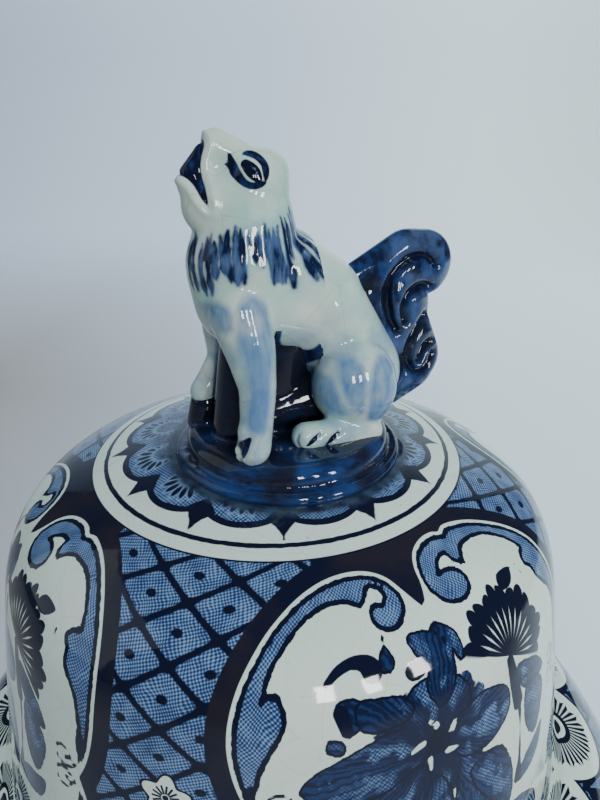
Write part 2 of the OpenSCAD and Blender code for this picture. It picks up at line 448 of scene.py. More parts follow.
def draw_spray(plate):
    """Peony petals on two layers, so that each overlaps the next, and leaves."""
    shape, stroke = plate.shape, plate.stroke
    shape("wash_a", (-8, 12), (-14, 13.6), (-20, 11.8), (-25, 9.6), (-28.6, 7.6), (-30.4, 4.6),
          (-27, 1.8), (-21, 1), (-14, 2.5), (-8, 6))
    shape("wash_b", (-9, 5), (-15, 2), (-22, 0), (-26.5, -4.5), (-24, -9), (-18, -11),
          (-12, -7), (-7, 0))
    shape("wash_a", (-7, 1), (-12, -5), (-15, -12), (-12, -18), (-6, -20), (-2, -15), (-2, -7),
          (-4, 0))
    shape("wash_b", (-3, 8), (1.5, 12.2), (7, 13), (12.6, 10), (12.8, 4.5), (7, 1.2), (0, 2.4))
    shape("wash_a", (0, 3), (5, 0), (10.5, -2), (12.6, -7), (10, -12.5), (4, -14), (-1, -8))
    shape("wash_a", (-9.6, 11), (-12.5, 15), (-10, 19.4), (-5.6, 20.5), (0.5, 18.5), (2.4, 14),
          (-2, 9.5))
    shape("wash_b", (-24, 19.6), (-22, 20.6), (-18.5, 19.2), (-19.5, 16.2), (-21.8, 14.4),
          (-23.4, 16.5))
    shape("leaf", (-20, 19.7), (-16, 19.7), (-12, 19), (-9.6, 16.2), (-13, 14.4), (-18.6, 14.4),
          (-20.6, 16.8))
    shape("leaf", (-25.6, 14.1), (-23.4, 13.8), (-22.6, 12.2), (-24, 11.2), (-25.8, 12.4))
    shape("leaf", (-8, 27.6), (-5, 27.8), (-1.8, 26.4), (0.2, 22.4), (-0.8, 17.6), (-4.2, 14.8),
          (-6.6, 18.4), (-5.8, 22.4), (-7.7, 25))
    stroke("leaf", (-1.2, 27.4, 0.9), (1.2, 25, 1.4), (2.2, 21.6, 0.8))
    shape("leaf", (19.6, 5), (24.4, 4.6), (27.8, 0.6), (26.8, -4.6), (24, -8.9), (20.8, -6.4),
          (19, -1.4))
    shape("leaf", (16, -15.6), (19, -12), (24, -10.4), (27.4, -9.6), (25.6, -14.4), (21, -16.4))
    shape("leaf", (-13.4, 27.8), (-13.4, 27.8), (-12, 25), (-12.6, 23.4), (-14.2, 23.3),
          (-15, 24.8))
    shape("wash_b", (2, -2), (8, -1.4), (12, -4.6), (14.2, -11), (13.4, -18), (9, -14.5),
          (4.6, -9))
    shape("wash_a", (16.2, 12), (20.8, 11), (25.6, 8), (28, 4.4), (24.2, 3.6), (18.6, 6))
    shape("wash_b", (-24, -9), (-18, -12), (-12, -20), (-14, -27), (-20, -29), (-26, -24),
          (-28, -16))
    shape("leaf", (-2, -20), (4, -22), (9, -28), (6, -34), (0, -32), (-5, -26))
    shape("wash_a", (12, -20), (18, -21), (24, -26), (24, -31), (17, -30), (12, -26))
    shape("leaf", (-30, -6), (-33.5, -10), (-34, -16), (-30.5, -18), (-28.5, -12))
    shape("ink", (19, 26.4), (20.6, 29), (25.9, 28.3), (23, 25.9))
    shape("ink", (-10.4, 22.9), (-7.6, 23.9), (-5.4, 22.5), (-7.4, 20.8), (-9.8, 21))
    stroke("ink", (-16.6, 24.2, 2.1), (-17.4, 25.2, 1.6), (-20, 25.9, 1), (-23, 25, 0.85),
           (-25.4, 23.2, 0.6))
    stroke("ink", (-23.2, 18.6, 1.4), (-22.2, 15.2, 1.1))
    stroke("ink", (14.2, 15, 1.1), (15, 10.5, 1.5), (16.4, 4, 1.7))
    stroke("ink", (16.4, 4, 0.7), (17.4, -2, 0.5), (16.8, -9, 0.5), (16.4, -14.6, 1.5))
    stroke("ink", (27.4, 27.9, 0.25), (28, 27.6, 0.35))
    stroke("ink", (28.6, 25.8, 0.5), (28.8, 25, 0.5))
    stroke("ink", (-13.6, 27.6, 0.3), (-12.6, 29.4, 0.35))
    stroke("ink", (13.4, -18, 0.5), (14.6, -24, 0.4), (18, -28, 0.4))
    stroke("ink", (-20, -29, 0.5), (-17, -33, 0.4), (-12, -34, 0.9))
    for angle in range(0, 360, 72):
        a = math.radians(angle + 20)
        b = a + 0.3
        x, y = HEART[0] + 3.2 * math.cos(a), HEART[1] + 3.4 * math.sin(a)
        stroke("gap", (x, y, 0.7), (HEART[0] + 5.3 * math.cos(b), HEART[1] + 5.3 * math.sin(b), 0.35))
        stroke("ink", (x, y, 0.5), (HEART[0] + 1.2 * math.cos(a), HEART[1] + 1.2 * math.sin(a), 1.3))


# %% [markdown]
# ## Wrapping the panels round the pots
# A flat print can't follow a dome without small misfits, so on the real jar no
# two panels sit quite alike. Each panel is given its own direction and its own
# height, and every point of the skin takes the panel that is nearest.

# %% Wrap the prints
LAYERS = ("field", "band", "wash_a", "wash_b", "leaf", "ink", "gap")


def along_outline(piece, stretches):
    """How far each point lies down the outline, and whether it is on the skin."""
    path = np.vstack([[curve_point(s, t) for t in np.linspace(0, 1, 41)[:-1]] for s in stretches]
                     + [[curve_point(stretches[-1], 1)]])
    lengths = np.concatenate([[0], np.cumsum(np.linalg.norm(np.diff(path, axis=0), axis=1))])
    co = points_of(piece)
    rz = np.column_stack([np.hypot(co[:, 0], co[:, 1]), co[:, 2]])
    rows, which = np.unique(rz.round(2), axis=0, return_inverse=True)
    best = np.full(len(rows), 1e9)
    place = np.zeros(len(rows))
    for i, (a, b) in enumerate(zip(path, path[1:])):
        d = b - a
        t = np.clip(((rows - a) @ d) / (d @ d), 0, 1)
        gap = np.linalg.norm(rows - a - t[:, None] * d, axis=1)
        better = gap < best
        best[better] = gap[better]
        place[better] = (lengths[i] + t * np.linalg.norm(d))[better]
    which = which.reshape(-1)
    on_skin = best[which] < 0.3
    turn = np.degrees(np.arctan2(co[:, 0], -co[:, 1]))
    return co, turn, rz[:, 0], place[which], on_skin, lengths[-1]


STRIP_TURN = -16.5


def wrap(piece, stretches, panels, width, scale=1.0):
    """Stores the panel prints on the skin. Each panel is (turn, middle), and
    width is how many millimetres one degree of turn takes on the flat print."""
    co, turn, radius, along, on_skin, length = along_outline(piece, stretches)
    nearest = np.full(len(co), 1e9)
    x, y = np.zeros(len(co)), np.zeros(len(co))
    for centre, middle in panels:
        away = (turn - centre + 180) % 360 - 180
        closer = np.abs(away) < nearest
        nearest[closer] = np.abs(away)[closer]
        x[closer] = (away * width)[closer]
        y[closer] = (middle - along)[closer]
    plate = Plate(np.column_stack([x, y]) / scale)
    draw_frame(plate)
    draw_spray(plate)
    for layer in LAYERS:
        values = np.where(on_skin, plate.layers[layer], FAR) * scale
        paint_values(piece, layer, values)
    paint_values(piece, "panel_x", x / scale)
    paint_values(piece, "panel_y", y / scale)
    paint_values(piece, "panel_out", np.abs(x) / scale)
    paint_values(piece, "along", np.where(on_skin, along, -20))
    strip = (turn - STRIP_TURN + 45) % 90 - 45
    paint_values(piece, "strip_x", strip * radius * math.pi / 180)
    print(f"{piece.name}: outline {length:.0f} mm long, {on_skin.sum()} printed points")


wrap(lid_skin, lid_outside, [(29.5, 88.5), (-63.5, 92.2), (119.5, 88.0), (210.5, 90.0)], 1.187)
wrap(jar_skin, jar_outside, [(29.5, 118), (-61, 119), (119.5, 118), (210.5, 117)], 1.9, 1.75)

# %% [markdown]
# ## Shader maths in plain Python
# A material is a graph of small nodes. Written out one by one they hide the
# idea, so one class wraps a socket: adding or multiplying two of them adds the
# Math node that does it.


# %% The Wire class
class Wire:
    """A value that varies over a surface. The bench is the material it is in."""

    def __init__(self, bench, socket):
        self.bench = bench
        self.socket = socket

    def math(self, operation, *others, clamp=False):
        settings = {"operation": operation, "use_clamp": clamp}
        sockets = dict(enumerate((self,) + others))
        return self.bench.node("ShaderNodeMath", settings, sockets)

    def __add__(self, other):
        return self.math("ADD", other)

    def __sub__(self, other):
        return self.math("SUBTRACT", other)

    def __mul__(self, other):
        return self.math("MULTIPLY", other)

    def __truediv__(self, other):
        return self.math("DIVIDE", other)

    def __rsub__(self, other):
        return (self * -1) + other

    def __neg__(self):
        return self * -1

    def __abs__(self):
        return self.math("ABSOLUTE")

    def __pow__(self, other):
        return self.math("POWER", other)

    __radd__ = __add__
    __rmul__ = __mul__

    def below(self, level, soft=0.14):
        """1 where the value is under the level, with an edge that is soft wide."""
        return ((level - self) / soft + 0.5).math("ADD", 0, clamp=True)

    def above(self, level, soft=0.14):
        return ((self - level) / soft + 0.5).math("ADD", 0, clamp=True)

    def least(self, other):
        return self.math("MINIMUM", other)

    def most(self, other):
        return self.math("MAXIMUM", other)

    def sin(self):
        return self.math("SINE")

    def cos(self):
        return self.math("COSINE")

    def repeat(self, pitch):
        """Distance to the nearest multiple of the pitch, with its sign."""
        return self - (self / pitch).math("ROUND") * pitch


def length(*parts):
    total = parts[0] * parts[0]
    for part in parts[1:]:
        total = total + part * part
    return total ** 0.5


class Bench:
    """One material and the nodes on it."""

    def __init__(self, name):
        self.material = bpy.data.materials.new(name)
        self.material.use_nodes = True
        self.tree = self.material.node_tree
        self.shader = self.tree.nodes["Principled BSDF"]

    def node(self, kind, settings=None, sockets=None, out=0):
        """Adds a node: its settings first, then each socket's value or link."""
        made = self.tree.nodes.new(kind)
        for name, value in (settings or {}).items():
            setattr(made, name, value)
        for name, value in (sockets or {}).items():
            self.feed(made.inputs[name], value)
        return Wire(self, made.outputs[out])

    def feed(self, socket, value):
        if isinstance(value, Wire):
            self.tree.links.new(value.socket, socket)
        else:
            socket.default_value = value

    def set(self, **sockets):
        for name, value in sockets.items():
            self.feed(self.shader.inputs[name.replace("_", " ")], value)

    def stored(self, name):
        return self.node("ShaderNodeAttribute", {"attribute_name": name}, out="Fac")

    def place(self):
        """Object coordinates in millimetres, as three numbers."""
        spot = self.node("ShaderNodeTexCoord", out="Object")
        parts = [self.node("ShaderNodeSeparateXYZ", None, {0: spot}, out=i) for i in range(3)]
        return [part / MM for part in parts]

    def noise(self, size, detail=2, rough=0.5, stretch=None):
        """Smooth noise from 0 to 1 with features of that size in millimetres."""
        spot = self.node("ShaderNodeTexCoord", out="Object")
        scale = [1 / (size * MM)] * 3
        if stretch:
            scale = [a / b for a, b in zip(scale, stretch)]
        spot = self.node("ShaderNodeMapping", None, {"Vector": spot, "Scale": scale})
        sockets = {"Vector": spot, "Scale": 1.0, "Detail": detail, "Roughness": rough}
        return self.node("ShaderNodeTexNoise", None, sockets)

    def blend(self, amount, under, over):
        """The colour over laid on the colour under, as strongly as the amount."""
        under, over = (c if isinstance(c, Wire) else (*c, 1) for c in (under, over))
        return self.node("ShaderNodeMix", {"data_type": "RGBA"},
                         {0: amount, 6: under, 7: over}, out=2)


# %% Colours of the glazes and inks
CREAM = (0.61, 0.735, 0.665)
CREAM_SHADE = (0.47, 0.585, 0.54)
NAVY = (0.0045, 0.0065, 0.022)
NAVY_WARM = (0.014, 0.013, 0.022)
COBALT = (0.010, 0.028, 0.092)
PALE = (0.172, 0.29, 0.49)
DOT = (0.013, 0.034, 0.115)


# %% [markdown]
# ## The glaze
# Under everything lies one lead-and-tin glaze: a greyish cream white, very
# glossy, with a net of hair-fine cracks and a few specks. Blue areas are a
# little warmer and duller where the ink lay thick.


# %% Glaze helpers
def cream_glaze(bench):
    """The white of the pot, with slow drifts of tone, specks and hair cracks."""
    drift = bench.noise(26, detail=3)
    tone = bench.blend(drift.above(0.55, 0.5) * 0.6, CREAM, CREAM_SHADE)
    speck = bench.noise(1.1, detail=1).above(0.76, 0.06)
    tone = bench.blend(speck * 0.35, tone, (0.25, 0.26, 0.25))
    spot = bench.node("ShaderNodeTexCoord", out="Object")
    cracks = bench.node(
        "ShaderNodeTexVoronoi", {"feature": "DISTANCE_TO_EDGE"},
        {"Vector": spot, "Scale": 1 / (7 * MM), "Randomness": 0.9})
    return bench.blend(cracks.below(0.012, 0.012) * 0.16, tone, (0.30, 0.31, 0.28))


def glossy(bench, colour, waves=0.12):
    """Finishes a glaze: its gloss and the slow waves of a poured surface."""
    wave = bench.noise(5, detail=2) * 0.7 + bench.noise(17, detail=1)
    bump = bench.node("ShaderNodeBump", None,
                      {"Strength": waves, "Distance": 0.4 * MM, "Height": wave})
    rough = bench.noise(9, detail=3) * 0.05 + 0.03
    bench.set(Base_Color=colour, Roughness=rough, Normal=bump)
    bench.shader.inputs["IOR"].default_value = 1.48
    return bench.material


def stipple(bench, across, down, pitch=0.82):
    """The engraver's dots: dark blue specks in rows on a pale blue ground."""
    turn = 2 * math.pi / pitch
    sway = bench.noise(4, detail=1) * 1.6
    dots = ((across + sway) * turn).cos() * ((down - sway) * turn).cos()
    swell = bench.noise(3.2, detail=2) * 1.5 - 0.6
    return bench.blend((dots + swell).above(0, 1.1), PALE, DOT)


def hatched(bench, x, y, hollow):
    """A petal: folds that run out from the flower's heart, dotted and pale on
    their crowns and solid cobalt in the hollows, with fine lines along them.
    Hollow is 0 at the middle of a petal and 1 where the ink pools."""
    dx, dy = x - HEART[0], y - HEART[1]
    reach, turn = length(dx, dy), dy.math("ARCTAN2", dx)
    ripple = bench.noise(4, detail=3, rough=0.6)
    fold = (turn * 10 + ripple * 11).cos() * 0.3
    shade = fold + (ripple - 0.5) * 1.2 + hollow * 0.35 + reach.below(7, 6) * 0.3 + 0.38
    ground = bench.blend(shade.above(0.3, 0.55), stipple(bench, x, y), COBALT)
    lines = abs((turn + ripple * 0.2).repeat(0.08)) * reach
    ink = (shade * 0.45 - 0.02 - lines).above(0, 0.3) * 0.8
    return bench.blend(ink, ground, NAVY)


# %% [markdown]
# ## Printing the panel
# The layers go on as they lie on the pot: white field, the shadow round the
# flower's heart, petals, leaves, dark ink, pale gaps, then the scrolled frame.


# %% Print the panel
LINE = 0.5


def lay(bench, under, layer, filling, outline=LINE, ink=NAVY):
    """Fills a layer's shapes and draws the dark line round them, with the
    small wobble of a line that was cut by hand and printed on soft paper."""
    wobble = (bench.noise(1.3, detail=2) - 0.5) * 0.7
    edge = bench.stored(layer) + wobble
    filled = bench.blend(edge.below(0), under, filling)
    return bench.blend(abs(edge).below(outline), filled, ink)


def aster(bench, x, y):
    """Rounded petals on thin stalks, fanned round the aster's heart."""
    dx, dy = x - ASTER[0], y - ASTER[1]
    reach = length(dx, dy * 1.06)
    turn = dy.math("ARCTAN2", dx)
    off = (turn - 1.2).repeat(0.235)
    side = abs(off) * reach
    tips = 12 + (turn * 9).cos() * 0.8
    swell = ((reach - 7) / 3.4).math("ADD", 0, clamp=True)
    stalk = (side - reach * (swell * 0.07 + 0.045) - 0.3).most(reach - tips)
    cap = length(reach - tips, side) - 1.5
    fan = abs(turn - 1.1).below(1.62, 0.05)
    return cap.least(stalk).below(0, 0.2) * fan


def printed_panel(bench, x, y):
    print_ = cream_glaze(bench)
    dots = stipple(bench, x, y)
    reach = length(x - HEART[0], y - HEART[1])
    shadow = reach - bench.noise(5, detail=2) * 12 - 6.5
    print_ = bench.blend(shadow.below(0, 0.3), print_, hatched(bench, x, y, 1))
    for layer in ("wash_a", "wash_b", "leaf"):
        rim = (bench.stored(layer) + 2).above(0, 3.5)
        print_ = lay(bench, print_, layer, hatched(bench, x, y, rim), 0.25)
    print_ = bench.blend(aster(bench, x, y), print_, NAVY)
    print_ = bench.blend(bench.stored("ink").below(0), print_, NAVY)
    print_ = bench.blend(bench.stored("gap").below(0) * 0.9, print_, CREAM)
    return lay(bench, print_, "band", dots)


def diaper(bench, x, y):
    """A net of diamonds filled with dots, each with a dark seed in it."""
    p, q = x / 14.8, (y - 48.3) / 10.4
    a, b = (p + q).repeat(1), (p - q).repeat(1)
    ragged = (bench.noise(0.9, detail=2) - 0.5) * 0.05
    corner = (abs(a) ** 9 + abs(b) ** 9) ** (1 / 9) + ragged
    net = corner.above(0.432, 0.03)
    seed = (length(a, b) + ragged).below(0.105, 0.03)
    cells = stipple(bench, x * 0.92 + y * 0.39, y * 0.92 - x * 0.39)
    return bench.blend(net.most(seed), cells, NAVY)


def rosette(bench, under, x, y):
    """The white five-petalled flower that sits in each strip of diaper."""
    reach = length(x, y)
    turn = y.math("ARCTAN2", x)
    rim = (turn * 5 + 1.2).cos() * 0.8 + 3.9
    flower = bench.blend((reach - rim).below(0.55), under, NAVY)
    flower = bench.blend((reach - rim).below(0), flower, CREAM)
    stamen = (abs((turn + 0.2).repeat(2 * math.pi / 15)) * reach).below(0.22)
    stamen = stamen * reach.below(2.6) * reach.above(0.8)
    flower = bench.blend(stamen.most(reach.below(0.6)), flower, NAVY)
    return flower


def ground(bench):
    """The dark ground between the panels, brownish where the ink is thick."""
    return bench.blend(bench.noise(14, detail=3).above(0.52, 0.2), NAVY, NAVY_WARM)


# %% [markdown]
# ## The crown's medallion
# Round the plinth the print is a ring of thirteen scallops with a spear between
# each pair, then a white ring, a dark line and a white band. The printed ring
# and the plinth don't quite share a centre, as on the real lid.


# %% Print the lid
MEDALLION = (-1.0, 0.2)
PLINTH = ((plinth_low[0] + plinth_high[0]) / 2, (plinth_low[1] + plinth_high[1]) / 2)
SCALLOP = 2 * math.pi / 13


def medallion(bench, outside):
    x, y, _ = bench.place()
    dx, dy = x - MEDALLION[0], y - MEDALLION[1]
    r = length(dx, dy)
    turn = dy.math("ARCTAN2", dx) + 1.506
    lobe = (turn - SCALLOP / 2).repeat(SCALLOP)
    point = turn.repeat(SCALLOP)
    hem = 33.3 + abs((lobe * (math.pi / SCALLOP)).cos()) ** 0.55 * 3.6
    dots = stipple(bench, dx, dy)
    wobble = (bench.noise(2.2, detail=2) - 0.5) * 0.8
    shade = bench.blend(bench.noise(5, detail=3).above(0.5, 0.4), (0.018, 0.028, 0.065), (0.06, 0.085, 0.16))
    shade = bench.blend((bench.noise(0.8, detail=2)).above(0.5, 0.2) * 0.4, shade, (0.12, 0.17, 0.28))
    ring = bench.blend(r.above(29.2, 1.2), shade, dots)
    fx, fy = lobe * 33, r - 26.6
    fan_turn = fx.math("ARCTAN2", fy).repeat(0.3)
    fan_reach = length(fx, fy)
    tick = length(fan_turn * fan_reach / 0.62, (fan_reach - 5.6) / 1.6)
    ring = bench.blend(tick.below(1.5, 0.4) * abs(fx).below(5) * 0.7, ring, PALE)
    ring = bench.blend(tick.below(1, 0.4) * abs(fx).below(4.6), ring, NAVY)
    ring = bench.blend(abs(r - hem + 0.7 + wobble).below(0.75), ring, NAVY)
    white = cream_glaze(bench)
    ring = bench.blend((r - hem).above(0), ring, white)
    spear = abs(point) * r - (39.2 - r) ** 1.5 * 0.3
    spear = spear.most(abs(point) * r - (r - 31) * 0.95).most(r - 39)
    ring = bench.blend((spear + wobble).below(0.1, 0.3), ring, NAVY)
    ring = bench.blend(abs(r - 40.3 + wobble * 0.5).below(0.5), ring, NAVY)
    ring = bench.blend(r.above(43.4), ring, outside)
    ring = bench.blend(abs(r - 43.5).below(0.18), ring, NAVY)
    collar = length(x - PLINTH[0], y - PLINTH[1])
    edge = collar.below(27.6, 1.6)
    dark = bench.blend(bench.noise(3, detail=3).above(0.5, 0.3), (0.009, 0.014, 0.034), (0.03, 0.05, 0.09))
    return bench.blend(edge, ring, dark)


def print_lid():
    bench = Bench("printed_lid_glaze")
    x, y = bench.stored("panel_x"), bench.stored("panel_y")
    along, strip = bench.stored("along"), bench.stored("strip_x")
    field = bench.stored("field")
    net = diaper(bench, strip, along)
    net = rosette(bench, net, strip - 1.2, along - 87.5)
    strip_edge = (field - 5.1).least(bench.stored("panel_out") - 25)
    outside = bench.blend(strip_edge.above(0), ground(bench), net)
    colour = bench.blend(field.above(1.3), printed_panel(bench, x, y), outside)
    white = cream_glaze(bench)
    border = (along - 131.6).above(0)
    colour = bench.blend(border, colour, white)
    colour = bench.blend(abs(along - 131.6).below(0.5), colour, NAVY)
    colour = medallion(bench, colour)
    colour = bench.blend(along.below(-10), colour, white)
    return glossy(bench, colour)


lid_skin.data.materials.clear()
lid_skin.data.materials.append(print_lid())
print("lid printed:", len(lid_skin.data.materials[0].node_tree.nodes), "nodes")

# %% [markdown]
# ## The jar's print
# The shoulder carries a ring of eyes: a dark heart on the seat's edge, a white
# ring, a dark ring and a fan of strokes on a scalloped white ground. The four
# panels hang below it, with the same net of diamonds between them, and a row
# of scallops closes the foot.

# %% Print the jar
EYE_STEP = 2 * math.pi / 18
EYE_TURN = math.radians(78)


def eye_border(bench, outside, along, turn, radius):
    """The peacock eyes of the shoulder, laid over the print outside them."""
    off = (turn - EYE_TURN).repeat(EYE_STEP)
    side = off * radius
    reach = length(side, along + 1.5)
    fan = side.math("ARCTAN2", along + 1.5)
    white = cream_glaze(bench)
    point = abs((off + EYE_STEP / 2).repeat(EYE_STEP) * radius)
    spear = (point * 0.9 + (9.2 - along) * 0.55 - 1.6).most(along - 16)
    hem = reach - 14.6
    edge = bench.blend(hem.below(0.9), outside, NAVY)
    edge = bench.blend(hem.below(0), edge, white)
    stroke = abs(fan.repeat(0.155)) * reach - reach * 0.05
    stroke = stroke.most(reach - (fan * 20.3).sin() * 0.7 - 10.8).most(4.2 - reach)
    edge = bench.blend(stroke.below(0, 0.3), edge, NAVY)
    edge = bench.blend(abs(reach - 4.4).below(0.75), edge, NAVY)
    edge = bench.blend(reach.below(2.3, 0.2), edge, NAVY_WARM)
    return bench.blend(spear.below(0, 0.3) * along.below(15), edge, NAVY)


def foot_border(bench, outside, along, turn, radius, start):
    """A row of scallops with fan strokes, and two lines, above the foot."""
    off = turn.repeat(2 * math.pi / 20)
    side = off * radius
    up = (start + 24) - along
    reach = length(side, up * 0.8)
    white = cream_glaze(bench)
    fan = side.math("ARCTAN2", up)
    edge = bench.blend((along - start).above(0), outside, white)
    edge = bench.blend(reach.below(10), edge, stipple(bench, side, along))
    edge = bench.blend(abs(reach - 10).below(0.6), edge, NAVY)
    stroke = (abs(fan.repeat(0.35)) * reach - 0.5).most(abs(reach - 6.8) - 1.8)
    edge = bench.blend(stroke.below(0, 0.3) * (along - start).above(0), edge, NAVY)
    edge = bench.blend(abs(along - start).below(0.7), edge, NAVY)
    edge = bench.blend((along - start - 24).above(0), edge, ground(bench))
    edge = bench.blend((along - start - 30).above(0), edge, white)
    return bench.blend(abs(along - start - 33).below(0.5), edge, NAVY)


def print_jar():
    bench = Bench("printed_jar_glaze")
    x, y = bench.stored("panel_x"), bench.stored("panel_y")
    along, strip = bench.stored("along"), bench.stored("strip_x")
    field = bench.stored("field")
    ox, oy, _ = bench.place()
    turn = ox.math("ARCTAN2", -oy)
    radius = length(ox, oy)
    net = diaper(bench, strip, along)
    net = rosette(bench, net, strip / 1.6, (along - 118) / 1.6)
    outside = bench.blend((field - 6.5).above(0), ground(bench), net)
    colour = bench.blend(field.above(2.2), printed_panel(bench, x, y), outside)
    colour = eye_border(bench, colour, along, turn, radius)
    colour = foot_border(bench, colour, along, turn, radius, 256)
    colour = bench.blend(along.below(-10), colour, cream_glaze(bench))
    return glossy(bench, colour)


jar_skin.data.materials.clear()
jar_skin.data.materials.append(print_jar())
print("jar printed:", len(jar_skin.data.materials[0].node_tree.nodes), "nodes")

# %% Fit both skins to the frame
for skin, node, body, slot in ((lid_skin, "lid_shell", "lid", "lid_glaze"),
                               (jar_skin, "jar_body", "jar", "jar_glaze")):
    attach(skin, body)
    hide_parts(node)

# %% [markdown]
# ## The lion on the lid
# The handle is a seated guardian lion, pressed in soft clay and finished with
# the fingers, so nothing on it is straight or sharp. It is built the same way:
# balls and pairs of balls with a skin over both, run together by a remesh and
# then rubbed smooth. Its own directions are forward, left and up, in
# millimetres from the middle of the crown under the plinth.

# %% Clay for the lion
LION_TURN = math.radians(206)
LION_SEAT = (1.6, -5.0, CROWN_Z - 2.1)
DISC_SHIFT = (0.4, 0.9)


def lump(a, ra, b, rb, flat=1.0):
    """Two balls and the skin stretched over both, flattened from side to side."""
    balls = []
    for place, r in ((a, ra), (b, rb)):
        deselect()
        bpy.ops.mesh.primitive_ico_sphere_add(
            subdivisions=4, radius=MM, location=[c * MM for c in place],
            scale=(r, r * flat, r))
        balls.append(bpy.context.object)
    pick(*balls)
    bpy.ops.object.join()
    bpy.ops.object.mode_set(mode="EDIT")
    bpy.ops.mesh.select_all(action="SELECT")
    bpy.ops.mesh.convex_hull()
    bpy.ops.object.mode_set(mode="OBJECT")
    return bpy.context.object


def mirrored(*lumps):
    """The same lumps on the other side of the lion as well."""
    across = np.array([1, -1, 1])
    return list(lumps) + [(across * a, ra, across * b, rb, flat) for a, ra, b, rb, flat in lumps]


def knead(name, lumps, grain=0.45, rub=24, extra=()):
    """Runs the lumps together into one skin of even grain and rubs it smooth."""
    pick(*[lump(*one) for one in lumps], *extra)
    bpy.ops.object.join()
    piece = bpy.context.object
    piece.name = piece.data.name = name
    bpy.ops.object.transform_apply(location=True, rotation=True, scale=True)
    piece.data.remesh_voxel_size = grain * MM
    bpy.ops.object.voxel_remesh()
    rubbing = piece.modifiers.new("rubbing", "SMOOTH")
    rubbing.factor, rubbing.iterations = 0.5, rub
    bpy.ops.object.modifier_apply(modifier="rubbing")
    print(f"{name}: {len(lumps)} lumps, {len(piece.data.polygons)} faces")
    return piece


def press(piece, depth):
    """Moves each point along its normal: minus is a groove, plus a ridge."""
    count = len(piece.data.vertices)
    co, normal = np.zeros(count * 3, np.float32), np.zeros(count * 3, np.float32)
    piece.data.vertices.foreach_get("co", co)
    piece.data.vertices.foreach_get("normal", normal)
    moved = co.reshape(-1, 3) + normal.reshape(-1, 3) * np.asarray(depth)[:, None] * MM
    piece.data.vertices.foreach_set("co", moved.astype(np.float32).ravel())
    piece.data.update()


def dome(distance, width):
    """1 at the middle of a stroke, falling softly to 0 at that distance."""
    return np.clip(1 - np.clip(distance, 0, None) / width, 0, 1) ** 2


def seat_on_crown(piece):
    """Turns a piece from the lion's own directions to its place on the lid."""
    piece.rotation_euler = (0, 0, LION_TURN)
    piece.location = [c * MM for c in LION_SEAT]
    pick(piece)
    bpy.ops.object.transform_apply(location=True, rotation=True, scale=True)
    finish_mesh(piece, smooth_angle=60)


# %% Model the lion's figure
HEAD = [
    ((6.9, 0, 55.2), 7.3, (4.4, 0, 57.5), 5.0, 0.95),
    ((7.2, 0, 55.5), 6.8, (13.8, 0, 62.8), 3.1, 0.8),
    ((8.1, 0, 52.1), 7.3, (18.4, 0, 56.0), 3.3, 0.8),
    ((14.3, 0, 62.2), 2.9, (18.7, 0, 56.8), 3.1, 0.75),
    ((8.2, 0, 50.2), 9.2, (15.1, 0, 52.4), 6.1, 0.85),
]
TRUNK = [
    ((8.6, 0, 46.5), 10.2, (9.5, 0, 40.7), 11.5, 0.9),
    ((9.5, 0, 40.7), 11.5, (8.8, 0, 34.5), 11.1, 0.9),
    ((1.0, 0, 37.9), 9.9, (-7.1, 0, 31.4), 10.5, 0.95),
    ((-7.4, 0, 30.5), 10.4, (-17.0, 0, 14.0), 11.1, 1.0),
    ((8.8, 0, 34.5), 10.2, (-6.8, 0, 30.6), 10.1, 0.95),
]
NEAR_FORELEG = [
    ((12.8, 6, 32.8), 6.2, (11.9, 9, 25.4), 5.0, 1.0),
    ((11.9, 9, 25.4), 5.0, (11.7, 11.5, 18.8), 3.8, 1.0),
    ((11.7, 11.5, 18.8), 3.8, (12.7, 13, 12.0), 3.4, 1.0),
    ((12.7, 13, 12.0), 3.4, (14.1, 13.6, 7.0), 3.9, 1.0),
]
FAR_FORELEG = [
    ((10.6, -6, 27.6), 6.3, (12.7, -8, 19.6), 2.7, 1.0),
    ((12.7, -8, 19.6), 2.7, (15.4, -8, 14.4), 2.9, 1.0),
    ((15.4, -8, 14.4), 2.9, (16.9, -8, 11.6), 3.3, 1.0),
]
HIND_LEGS = mirrored(
    ((-11.6, 9.5, 15.0), 9.8, (-12.3, 9.5, 13.9), 9.5, 0.8),
    ((-13.6, 13, 4.6), 3.4, (2.0, 13, 6.6), 3.0, 1.0),
)
lion_skin = knead("lion_skin", HEAD + TRUNK + NEAR_FORELEG + FAR_FORELEG + HIND_LEGS)

# %% Model the tail
TAIL = [
    ((-17.3, 0, 34.4), 4.4, (-29.8, 0, 37.6), 7.3, 0.5),
    ((-29.8, 0, 37.6), 7.3, (-34.6, 0, 37.2), 7.3, 0.5),
    ((-28.4, 0, 30.4), 7.6, (-30.0, 0, 22.9), 6.9, 0.5),
    ((-30.0, 0, 22.9), 6.9, (-33.8, 0, 14.5), 7.0, 0.5),
    ((-33.4, 0, 12.3), 6.0, (-27.4, 0, 8.3), 4.8, 0.6),
    ((-24, 0, 20), 6, (-20, 0, 30), 6, 0.5),
]
tail_skin = knead("tail_skin", TAIL, grain=0.4, rub=16)

# %% Model the plinth
STONE = [
    ((9, 0, 8), 6, (-6, 0, 10), 8, 1.0),
    ((12, 1, 6), 6, (10, 1, 24), 5.5, 1.0),
    ((4, 0, 8), 7, (1, 0, 24), 7, 0.8),
    ((16.6, -8, 9), 3.6, (17.2, -8.5, 4.6), 3.9, 1.0),
]


